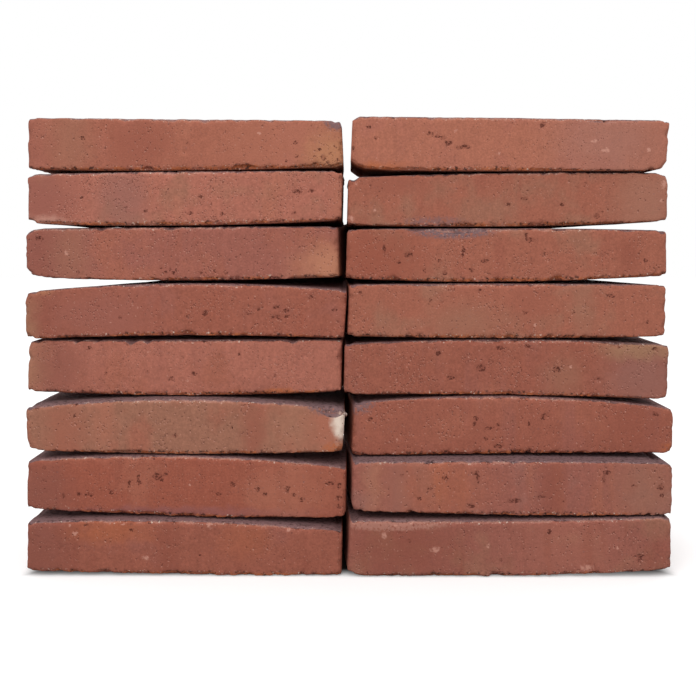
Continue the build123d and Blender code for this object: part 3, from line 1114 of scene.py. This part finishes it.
@dataclass
class Studio:
    """A pale floor, a soft lamp in front and above, an even white surround, and the photograph's camera.

    Lengths are metres. Under the stack, fading in over a set width inside its edges, the floor is painted dark to
    the camera and loses its glow: a painted shadow.
    """

    lens: float = 48.47
    eye: tuple[float, float, float] = (0.0, -0.7485, 0.2413)
    shift: tuple[float, float] = (-0.0014, -0.148)
    nearest_seen: float = 0.01
    floor_width: float = 12.0
    floor_tone: tuple[float, float, float, float] = (0.85, 0.85, 0.85, 1.0)
    floor_glow: float = 0.3
    # The painted shadow under the stack: how far in from its edges it fades in, and its dark tone.
    painted_shadow_fade: float = 0.02
    painted_shadow_tone: tuple[float, float, float, float] = (0.03, 0.025, 0.022, 1.0)
    bounce_tone: tuple[float, float, float, float] = (0.4, 0.39, 0.38, 1.0)
    surround: float = 0.92
    lamp_power: float = 16.0
    lamp_size: float = 1.6
    lamp_place: tuple[float, float, float] = (-0.35, -1.5, 1.5)
    lamp_aim: tuple[float, float, float] = (0.0, 0.0, 0.15)

    def build(self) -> None:
        """Sets up the camera, the lamp, the surround and the floor."""
        self.set_camera()
        self.set_lamp()
        self.set_surround()
        self.set_floor()
        bpy.context.scene.view_settings.view_transform = "Standard"

    def set_camera(self) -> None:
        """Puts a level camera square in front of the long faces."""
        data = bpy.data.cameras.new("camera")
        data.lens = self.lens
        data.shift_x, data.shift_y = self.shift
        data.clip_start = self.nearest_seen
        camera = bpy.data.objects.new("camera", data)
        camera.location = self.eye
        camera.rotation_euler = (math.pi / 2, 0.0, 0.0)
        bpy.context.scene.collection.objects.link(camera)
        bpy.context.scene.camera = camera

    def set_lamp(self) -> None:
        """Hangs a large soft lamp in front and above."""
        data = bpy.data.lights.new("softbox", "AREA")
        data.shape = "DISK"
        data.size = self.lamp_size
        data.energy = self.lamp_power
        lamp = bpy.data.objects.new("softbox", data)
        lamp.location = self.lamp_place
        aim = Vector(self.lamp_aim) - Vector(self.lamp_place)
        lamp.rotation_euler = aim.to_track_quat("-Z", "Y").to_euler()
        bpy.context.scene.collection.objects.link(lamp)

    def set_surround(self) -> None:
        """Lights the scene evenly, and shows the camera plain white."""
        world = bpy.data.worlds.new("surround")
        world.use_nodes = True
        world.node_tree.nodes.clear()
        board = Board(world.node_tree)
        rays = board.put("ShaderNodeLightPath").outputs
        seen = board.reckon("MAXIMUM", rays["Is Camera Ray"], rays["Is Glossy Ray"])
        seen = board.reckon("MAXIMUM", seen, rays["Is Transmission Ray"])
        even = board.put("ShaderNodeBackground", {"Color": WHITE, "Strength": self.surround})
        white = board.put("ShaderNodeBackground", {"Color": WHITE, "Strength": 1.0})
        both = board.put("ShaderNodeMixShader", {0: seen, 1: even.outputs[0], 2: white.outputs[0]})
        board.put("ShaderNodeOutputWorld", {"Surface": both.outputs[0]})
        bpy.context.scene.world = world

    def set_floor(self) -> None:
        """Lays the floor: one wide sheet, white to the camera but for the stack's shadow, with a painted shadow
        under it.
        """
        half = self.floor_width / 2
        corners = [(-half, -half, 0), (half, -half, 0), (half, half, 0), (-half, half, 0)]
        mesh = bpy.data.meshes.new("floor")
        mesh.from_pydata(corners, [], [(0, 1, 2, 3)])
        floor = bpy.data.objects.new("floor", mesh)
        bpy.context.scene.collection.objects.link(floor)
        paint = bpy.data.materials.new("floor_paint")
        paint.use_nodes = True
        paint.node_tree.nodes.clear()
        board = Board(paint.node_tree)
        camera = board.put("ShaderNodeLightPath").outputs["Is Camera Ray"]
        place = board.put("ShaderNodeTexCoord").outputs["Object"]
        axes = board.put("ShaderNodeSeparateXYZ", {0: place}).outputs
        beside = [board.ramp(board.reckon("ABSOLUTE", axis), edge - self.painted_shadow_fade, edge)
                  for axis, edge in zip(axes, CAD_BOX[1][:2])]
        bare = board.reckon("MAXIMUM", *beside)
        # Painted shadow: under the stack the floor is coloured dark and its glow is taken away.
        floor_with_painted_shadow = board.blend(self.painted_shadow_tone, self.floor_tone, bare)
        pale = board.put("ShaderNodeBsdfDiffuse", {"Color": floor_with_painted_shadow}).outputs[0]
        shining = board.blend(BLACK, WHITE, bare)
        glow = board.put("ShaderNodeEmission", {"Color": shining, "Strength": self.floor_glow}).outputs[0]
        shown = board.put("ShaderNodeAddShader", {0: pale, 1: glow}).outputs[0]
        plain = board.put("ShaderNodeBsdfDiffuse", {"Color": self.bounce_tone}).outputs[0]
        both = board.put("ShaderNodeMixShader", {0: camera, 1: plain, 2: shown}).outputs[0]
        board.put("ShaderNodeOutputMaterial", {"Surface": both})
        mesh.materials.append(paint)


def left_column() -> Column:
    """The left column's bricks, from the floor up."""
    return Column([
        FiredBrick(
            "brick_left_1", Clay(Tone.RUSSET, Tone.DUSK, Tone.DEEP, 0.98, ash_and_skylight=0.85), seed=11,
            torn=((44, 37.7, 2.2, 1.5), (77, 34, 1.5, 1.1), (127, 15.8, 1.1, 1.1)),
            stones=((36, 31.5, 3.6, 2.9), (134, 36.9, 2.9, 3.6), (191, 34, 2.2, 1.8), (32, 37.2, 1.5, 1.5),
                    (71, 38, 1.5, 1.1), (87, 13.6, 4.4, 2.9)),
            patches=(Patch(Tone.UMBER, 6, 20, (46, 50), 0.75), Patch(Tone.FLAME, 62, 33, (48, 14), 0.4),
                     Patch(Tone.DEEP, 102, 18, (16, 40), 0.5), Patch(Tone.FLAME, 160, 27, (30, 22), 0.2)),
        ),
        FiredBrick(
            "brick_left_2", Clay(Tone.EMBER, Tone.BRICK, Tone.DEEP, 1.0, open=0.5, ash_and_skylight=0.85), seed=23,
            torn=((76, 26, 1.8, 3.7), (83, 29.4, 1.1, 5.9), (84, 26.4, 2.2, 2.2), (97, 31.1, 5.9, 3.7),
                  (103, 32.7, 2.2, 2.2), (100, 28.8, 2.2, 1.5), (142, 18, 2.2, 1.5), (152, 25.2, 2.9, 3.3),
                  (171, 21.6, 2.9, 2.2), (176, 18, 2.2, 2.2), (193, 21.6, 2.9, 2.9), (197, 17.2, 1.5, 1.5),
                  (203, 14.1, 2.9, 1.5), (224, 25.7, 5.9, 1.5), (231, 24.6, 2.2, 2.9), (231, 15.7, 2.2, 2.2),
                  (231, 9.2, 2.2, 2.2), (28, 17.2, 1.1, 2.2), (39, 18, 2.2, 2.2), (47, 17.6, 4.4, 1.5),
                  (63, 19.1, 2.2, 2.2), (14, 37.5, 1.5, 1.5)),
            stones=((121, 24.9, 1.5, 1.1),),
            patches=(Patch(Tone.UMBER, 8, 18, (44, 40), 0.8), Patch(Tone.MAUVE, 110, 5, (150, 6), 0.6),
                     Patch(Tone.SALMON, 196, 22, (56, 34), 0.5)),
        ),
        FiredBrick(
            "brick_left_3", Clay(Tone.MOSS, Tone.BRICK, Tone.MOSS, 0.98, streaks=0.2, ash_and_skylight=0.9), seed=31,
            torn=((38, 37.2, 1.5, 2.2), (111, 14.4, 2.9, 1.5), (37, 28.9, 1.1, 1.1), (153, 20.1, 1.1, 1.1),
                  (9, 34.8, 3.7, 2.2)),
            patches=(Patch(Tone.BRICK, 30, 18, (26, 50), 0.7), Patch(Tone.SALMON, 58, 24, (14, 40), 0.6),
                     Patch(Tone.RUSSET, 168, 18, (16, 50), 0.7), Patch(Tone.TAN, 196, 20, (24, 40), 0.4),
                     Patch(Tone.SALMON, 222, 20, (24, 34), 0.9),
                     Patch(Tone.CREAM, 238, 21, (13, 19), 1.0, 20, 0.6),
                     Patch(Tone.FLAME, 230, 4, (14, 8), 0.65, 20, 0.7, True),
                     Patch(Tone.ASH, 226, 37, (22, 9), 0.9, 30, 0.4, True)),
            nicks=(Nick(241, 6, 2.8, True),), chipped=True,
        ),
        FiredBrick(
            "brick_left_4", Clay(Tone.ROSE, Tone.BRICK, Tone.DUSK, 0.98, open=0.6), seed=43,
            heel=Heel(1.6, 1.4, 4.5),
            torn=((48, 36.7, 1.5, 1.5), (126, 17, 3, 1.9), (60, 17, 1.1, 1.1), (109, 13, 3.7, 2.2),
                  (91, 18.2, 1.1, 1.1), (187, 16, 1.5, 1.1), (160, 31.7, 1.1, 1.1)),
            stones=((121, 11.5, 1.1, 1.1),),
            patches=(Patch(Tone.KHAKI, 3, 22, (22, 36), 0.5), Patch(Tone.UMBER, 26, 20, (34, 40), 0.6),
                     Patch(Tone.FLAME, 205, 1, (70, 3.5), 0.8)),
            nicks=(Nick(39, 5, 2.6, True), Nick(54, 3, 1.6, True), Nick(79, 6, 3.0, True),
                   Nick(91, 4, 2.0, True), Nick(200, 5, 2.2, True)),
        ),
        FiredBrick(
            "brick_left_5", Clay(Tone.RUSSET, Tone.DUSK, Tone.EMBER, 1.0, open=0.45), seed=53, heel=THICK_HEEL,
            torn=((72, 16.2, 1.5, 1.5), (122, 16.9, 1.5, 1.1), (135, 19.9, 3, 2.2), (167, 19.2, 4.5, 1.1),
                  (188, 24, 3.7, 1.5), (188, 16.9, 6, 1.3), (196, 21.8, 3, 1.5), (196, 17.1, 2.2, 1.1),
                  (214, 32, 2.2, 3), (232, 22.2, 3, 1.1), (175, 22.9, 3.7, 0.9)),
            stones=((81, 25.9, 1.1, 1.1), (85, 24.4, 1.1, 1.1)),
            patches=(Patch(Tone.UMBER, 14, 16, (34, 40), 0.45), Patch(Tone.KHAKI, 2, 14, (14, 26), 0.5),
                     Patch(Tone.BUFF, 14, 37, (14, 9), 0.5), Patch(Tone.DUSK, 60, 18, (60, 30), 0.8)),
            swells=(Swell(92, 22, 0.9, True), Swell(240, 40, 1.6, True)),
        ),
        FiredBrick(
            "brick_left_6", Clay(Tone.DUSK, Tone.BRICK, Tone.RUSSET, 1.02, streaks=0.2), seed=61,
            heel=THICK_HEEL,
            torn=((11, 32.2, 4.5, 2.2), (132, 6.2, 1.5, 1.5), (142, 7.7, 1.5, 1.1), (151, 6.2, 1.5, 1.1),
                  (106, 7, 1.2, 0.8), (109, 9.2, 1.1, 1.1), (111, 6, 1.4, 1), (113.5, 8.2, 0.9, 1.2),
                  (102, 10, 1, 0.8), (40, 7, 1.5, 1.1), (187, 2.5, 6.7, 1.1)),
            stones=((31, 21.2, 3.7, 3),),
            patches=(Patch(Tone.UMBER, 10, 20, (50, 50), 0.6), Patch(Tone.MOSS, 34, 20, (24, 50), 0.5),
                     Patch(Tone.DUSK, 108, 8, (16, 10), 0.6), Patch(Tone.APRICOT, 230, 10, (44, 30), 0.8)),
            swells=(Swell(68, 28, 1.0, True), Swell(24, 13, 1.4, True), Swell(92, 22, 0.9),
                    Swell(240, 40, 1.6)),
        ),
        FiredBrick(
            "brick_left_7", Clay(Tone.ROSE, Tone.MOSS, Tone.SALMON, 0.99, open=0.6), seed=71, heel=OPEN_HEEL,
            torn=((202, 25.7, 6, 2.2), (213, 26.4, 4.5, 1.1), (200, 9.7, 2.2, 1.1), (146, 8.9, 3, 1.5),
                  (122, 9.7, 3, 1.9), (130, 22.3, 2.2, 1.5), (89, 11.4, 1.5, 1.1), (41, 21.6, 1.5, 1.1)),
            patches=(Patch(Tone.DUSK, 10, 20, (46, 50), 0.95), Patch(Tone.SLATE, 72, 20, (30, 50), 0.7),
                     Patch(Tone.BLUSH, 14, 3, (30, 8), 0.7), Patch(Tone.SALMON, 236, 20, (16, 36), 0.8)),
            swells=(Swell(68, 28, 1.0), Swell(24, 13, 1.4)),
        ),
        FiredBrick(
            "brick_left_8", Clay(Tone.BRICK, Tone.ROSE, Tone.SALMON, 0.985), seed=83, cells=(220, 34, 60),
            heel=None,
            torn=((42, 24.4, 2.2, 1.5), (201, 20.7, 1.5, 1.5), (202, 11, 1.5, 1.1), (194, 7.2, 1.5, 1.1),
                  (222, 9.5, 3.7, 3), (120, 20.3, 1.1, 1.1), (219, 16, 1.6, 1), (227, 13, 1.5, 1.2),
                  (231, 18, 1.2, 1), (226, 6, 2, 1), (233, 8, 1.2, 1.5), (215, 11, 1.2, 1)),
            stones=((174, 28.2, 1.5, 1.5),),
            patches=(Patch(Tone.DUSK, 4, 22, (30, 50), 0.5), Patch(Tone.MOSS, 34, 22, (24, 50), 0.55),
                     Patch(Tone.RUSSET, 84, 20, (38, 30), 0.9),
                     Patch(Tone.SALMON, 180, 20, (70, 50), 0.7), Patch(Tone.BUFF, 230, 12, (34, 30), 0.8),
                     Patch(Tone.ASH, 233, 37, (13, 9), 0.9, 20, 0.5, True)),
            chipped=True,
        ),
    ])


def right_column() -> Column:
    """The right column's bricks, from the floor up."""
    return Column([
        FiredBrick(
            "brick_right_1", Clay(Tone.DUSK, Tone.MOSS, Tone.DEEP, 0.96, ash_and_skylight=0.8), seed=101,
            torn=((147, 33, 1.5, 2.9), (212, 15.4, 5.8, 1.1), (111, 12.9, 2.2, 1.5), (45, 26.6, 1.5, 1.1),
                  (212, 12.9, 2.2, 1.1)),
            stones=((27, 30.6, 3.6, 4.4), (64, 20.1, 6.5, 3.6), (102, 23, 2.2, 2.9), (196, 21.6, 1.5, 1.5),
                    (174, 7.1, 8.7, 4.4), (35, 37.5, 1.5, 1.5), (47, 39.7, 1.5, 1.5)),
            patches=(Patch(Tone.DEEP, 40, 22, (64, 40), 0.6), Patch(Tone.ROSE, 160, 22, (60, 44), 0.5),
                     Patch(Tone.BLUSH, 34, 38, (46, 5), 0.5, 12, 0.5, True)),
            chipped=True,
        ),
        FiredBrick(
            "brick_right_2", Clay(Tone.DUSK, Tone.SLATE, Tone.BRICK, 0.99, streaks=0.18, ash_and_skylight=0.95), seed=113,
            torn=((92, 28.3, 1.3, 7.3), (90, 31.6, 2.9, 1.3), (186, 32.3, 5.1, 1.3), (184, 27.6, 1.3, 6.6),
                  (225, 21.3, 3.6, 2.9), (226, 15.9, 2.2, 1.5), (87, 7.9, 4.4, 1.8), (119, 11.7, 7.3, 1.8),
                  (36, 30.5, 2.2, 1.1), (68, 28.3, 2.9, 1.1), (57, 20.3, 2.9, 1.1), (49, 13, 2.2, 1.1),
                  (138, 14.5, 6.6, 0.9), (206, 22.5, 3.6, 0.9)),
            patches=(Patch(Tone.TAN, 16, 24, (12, 40), 0.5), Patch(Tone.SLATE, 33, 16, (14, 50), 0.8),
                     Patch(Tone.FLAME, 62, 22, (60, 44), 0.27), Patch(Tone.DEEP, 146, 20, (16, 50), 0.6),
                     Patch(Tone.MOSS, 215, 20, (40, 50), 0.5)),
            heel=Heel(1.6),
        ),
        FiredBrick(
            "brick_right_3", Clay(Tone.RUSSET, Tone.BRICK, Tone.DUSK, 1.0, streaks=0.2, open=0.45), seed=127,
            torn=((93, 28.7, 2.2, 2.2), (92, 24.6, 2.2, 1.9), (103, 21.3, 6, 1.3), (110, 23.7, 3, 1.1),
                  (110, 8, 6.7, 1.3), (143, 30, 2.2, 3.7), (100, 13.5, 2.2, 1.1), (227, 31.5, 3.7, 2.2),
                  (133, 24.6, 1.5, 1.5), (14, 28.3, 2.2, 1.5)),
            stones=((34, 12.7, 1.5, 2.2),),
            patches=(Patch(Tone.ASH, 3, 40, (18, 10), 0.8, 30, 0.5, True),
                     Patch(Tone.FLAME, 238, 5, (10, 8), 0.6, 20, 0.7, True),
                     Patch(Tone.DEEP, 215, 22, (40, 40), 0.4)),
            chipped=True, heel=Heel(1.6),
        ),
        FiredBrick(
            "brick_right_4", Clay(Tone.RUSSET, Tone.BRICK, Tone.DUSK, 0.97, open=0.5), seed=131,
            torn=((80, 16.6, 4.5, 2.2), (103, 24.1, 6, 4.5), (160, 23.1, 4.5, 3.7), (71, 34.8, 2.2, 2.2),
                  (206, 40.3, 1.5, 2.2), (233, 38, 4.5, 1.5), (191, 15.9, 6, 0.9), (117, 39, 4.5, 2.2),
                  (138, 40.5, 3, 2.2)),
            stones=((140, 6.9, 1.5, 1.5), (170, 24.9, 1.5, 1.5)),
            patches=(Patch(Tone.MOSS, 164, 18, (24, 26), 0.6), Patch(Tone.SLATE, 224, 18, (48, 40), 0.85),
                     Patch(Tone.KHAKI, 222, 38, (46, 12), 0.75)),
            heel=Heel(1.8),
        ),
        FiredBrick(
            "brick_right_5", Clay(Tone.BRICK, Tone.MOSS, Tone.BRICK, 0.99, open=0.45), seed=149,
            torn=((197, 32.1, 5.2, 1.1), (62, 29.2, 1.5, 1.5), (99, 36.6, 1.5, 1.5), (10, 34.4, 1.5, 1.5),
                  (133, 19.5, 1.5, 1.5), (169, 20.2, 1.5, 1.5), (224, 12.8, 1.5, 1.5)),
            stones=((140, 10.5, 1.5, 1.5),),
            patches=(Patch(Tone.MOSS, 88, 12, (44, 24), 0.7), Patch(Tone.MOSS, 176, 20, (14, 50), 0.6),
                     Patch(Tone.RUSSET, 135, 28, (22, 30), 0.5)),
            heel=THICK_HEEL, swells=(Swell(198, 50, 1.6, True),),
        ),
        FiredBrick(
            "brick_right_6", Clay(Tone.BRICK, Tone.MOSS, Tone.RUSSET, 0.98, open=0.5, streaks=0.22), seed=151,
            torn=((138, 31.8, 6, 1.5), (135, 34.8, 1.5, 3.7), (47, 20.6, 4.5, 3), (70, 16.2, 3, 1.1),
                  (104, 16.2, 4.5, 1.9), (94, 9.4, 2.2, 2.2), (74, 7.2, 2.2, 1.5), (224, 16.2, 2.2, 2.2),
                  (29, 24.4, 1.5, 6), (88, 22.9, 1.5, 6), (40, 14.7, 1.5, 1.5), (59, 9.4, 1.5, 2.2)),
            patches=(Patch(Tone.EMBER, 24, 18, (56, 44), 0.9),
                     Patch(Tone.ASH, 80, 39, (40, 8), 0.95, edge=0.6, torn=True),
                     Patch(Tone.DEEP, 212, 20, (14, 28), 0.5)),
            chipped=True, heel=THICK_HEEL, swells=(Swell(198, 50, 1.6), Swell(162, 50, 1.2, True)),
        ),
        FiredBrick(
            "brick_right_7", Clay(Tone.BRICK, Tone.MOSS, Tone.RUSSET, 0.97, open=0.28), seed=163,
            heel=OPEN_HEEL, swells=(Swell(162, 50, 1.2),),
            torn=((133, 21.8, 3.7, 1.5), (187, 8.5, 3.7, 2.2), (161, 16.9, 2.2, 1.5), (121, 16.9, 1.5, 1.1)),
            stones=((7, 32.8, 1.5, 1.5), (21, 13.2, 1.5, 1.5), (235, 19.9, 1.5, 1.5), (3, 6.4, 4.5, 5.2),
                    (237, 32.6, 3, 6.7)),
            patches=(Patch(Tone.RUSSET, 36, 34, (40, 14), 0.6), Patch(Tone.ASH, 66, 4, (34, 6), 0.6, torn=True),
                     Patch(Tone.MOSS, 222, 20, (38, 50), 0.6), Patch(Tone.BLUSH, 228, 20, (44, 44), 0.13)),
        ),
        FiredBrick(
            "brick_right_8", Clay(Tone.SALMON, Tone.ROSE, Tone.SALMON, 0.97, open=0.35), seed=173,
            cells=(220, 34, 60),
            torn=((59, 28, 3.7, 1.5), (65, 25.7, 3.7, 1.5), (69, 24.9, 3, 2.6), (73, 20.9, 4.5, 2.6),
                  (81, 17.5, 3, 1.9), (86, 18.1, 5.2, 2.2), (19, 24.3, 1.5, 1.5), (14, 32.8, 2.2, 1.5),
                  (2, 17.2, 1.5, 3), (143, 34.3, 3, 2.2)),
            stones=((78, 30.3, 1.5, 1.5), (110, 13, 1.5, 1.5), (222, 15.7, 2.2, 2.2), (182, 22.4, 6, 1.5),
                    (190, 15.7, 5.2, 2.2)),
            patches=(Patch(Tone.SLATE, 196, 22, (64, 50), 0.5), Patch(Tone.BLUSH, 190, 22, (64, 44), 0.18),
                     Patch(Tone.FLAME, 10, 3, (44, 7), 0.7, 60)),
            chipped=True, heel=None,
        ),
    ])


def main() -> None:
    """Builds the stack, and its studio."""
    logging.basicConfig(level=logging.INFO, format="%(name)s: %(message)s")
    recipes = ClayRecipes()
    for side, column in zip(SIDES, (left_column(), right_column())):
        column.raise_up(recipes)
        log.info("%s column: %d bricks", side, len(column.bricks))
    Studio().build()


if __name__ == "__main__":
    main()
